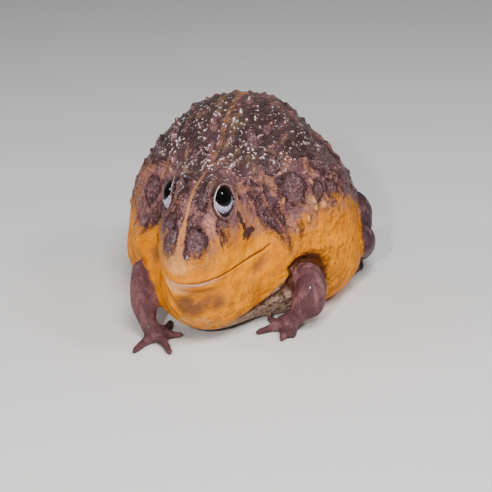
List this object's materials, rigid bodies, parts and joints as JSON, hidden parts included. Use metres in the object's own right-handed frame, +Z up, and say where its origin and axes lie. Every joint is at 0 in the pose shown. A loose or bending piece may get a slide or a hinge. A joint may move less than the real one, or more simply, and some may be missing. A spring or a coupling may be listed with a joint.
{
  "type": "african bullfrog",
  "caption": "Still life-size model of a sitting bullfrog with a puffed-up round body, broad jaws and folded legs, for a museum case.",
  "frame": {"origin": "on the floor, in the flat under the belly, midway between the frog's sides", "axes": "+Z up, the frog faces -Y and its left side is +X"},
  "size_m": [0.1508, 0.1794, 0.1159],
  "materials": {
    "skin": "moist, warty skin, satin with wet specks",
    "eye": "polished, wet"
  },
  "bodies": {
    "root": {"head": "skin", "lower_jaw": "skin", "torso": "skin", "upper_arm_left": "skin", "upper_arm_right": "skin", "forearm_left": "skin", "forearm_right": "skin", "hand_left": "skin", "hand_right": "skin", "thigh_left": "skin", "thigh_right": "skin", "shank_left": "skin", "shank_right": "skin", "foot_left": "skin", "foot_right": "skin", "eye_left": "eye", "eye_right": "eye"}
  },
  "joints": []
}
